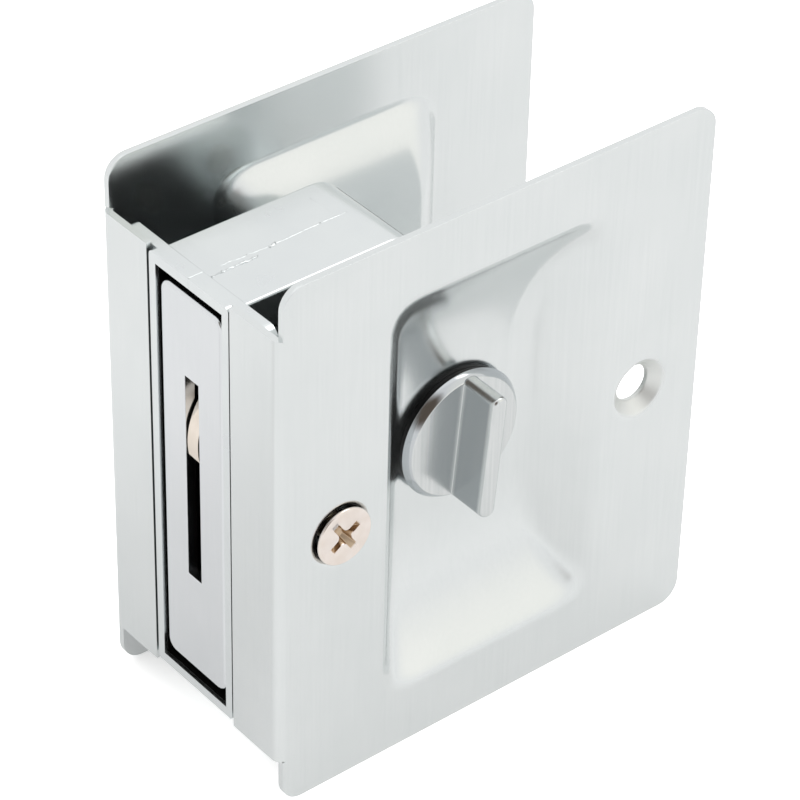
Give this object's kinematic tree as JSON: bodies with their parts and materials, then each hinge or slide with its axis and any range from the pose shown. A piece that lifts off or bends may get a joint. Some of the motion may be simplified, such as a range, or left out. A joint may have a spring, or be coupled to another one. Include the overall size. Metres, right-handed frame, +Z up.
{
  "type": "pocket door lock",
  "caption": "Notch-type privacy lock for a sliding door: face plates with finger cups, thumb-turn, coin-slot release, swinging hook and a sprung edge pull.",
  "frame": {"origin": "where the turn's spindle crosses the door's mid-plane, which is the centre of the lock's box", "axes": "+X from the door's edge into the door, +Y from the thumb-turn side to the release side, +Z up"},
  "size_m": [0.071, 0.0384, 0.0826],
  "materials": {
    "satin_chrome_sheet": "satin chrome plate on drawn steel sheet",
    "satin_chrome_pull": "satin chrome plate",
    "plated_casting": "dull plated zinc die casting",
    "chrome_turn": "chrome plate, brushed face and polished bevel",
    "nickel_steel": "warm nickel plate",
    "bright_steel": "bright drawn steel",
    "spring_steel": "rolled spring steel",
    "black_nylon": "moulded nylon"
  },
  "bodies": {
    "lock_body": {"front_plate": "satin_chrome_sheet", "rear_plate": "satin_chrome_sheet", "case_front_half": "plated_casting", "case_rear_half": "plated_casting", "case_rivets": "bright_steel", "pull_pivot_pin": "bright_steel", "pull_spring": "spring_steel", "hook_pivot_pin": "bright_steel", "hub_detent_spring": "spring_steel", "turn_washer": "black_nylon", "front_plate_screw": "nickel_steel", "rear_plate_screw": "nickel_steel"},
    "turn": {"thumb_turn": "chrome_turn", "turn_spindle": "bright_steel", "cam_hub": "plated_casting", "crank_pin": "bright_steel", "release_turn": "chrome_turn", "turn_retaining_ring": "spring_steel", "release_retaining_ring": "spring_steel"},
    "hook": {"hook_latch": "nickel_steel"},
    "pull": {"edge_pull": "satin_chrome_pull"}
  },
  "joints": [
    {"name": "turn_rotate", "type": "hinge", "parent": "lock_body", "child": "turn", "pos_m": [0, 0, 0], "axis": [0, 1, 0], "range_deg": [0, 90], "deforming": ["hub_detent_spring"]},
    {"name": "hook_swing", "type": "hinge", "parent": "lock_body", "child": "hook", "pos_m": [-0.019, 0, -0.014], "axis": [0, -1, 0], "range_deg": [0, 40.6]},
    {"name": "pull_swing", "type": "hinge", "parent": "lock_body", "child": "pull", "pos_m": [-0.03, 0, 0.019], "axis": [0, 1, 0], "range_deg": [0, 26], "stiffness_Nm_per_rad": 0.03, "deforming": ["pull_spring"]}
  ],
  "couplings": [
    {"joint": "hook_swing", "follows": "turn_rotate", "ratio": 0.4503}
  ]
}
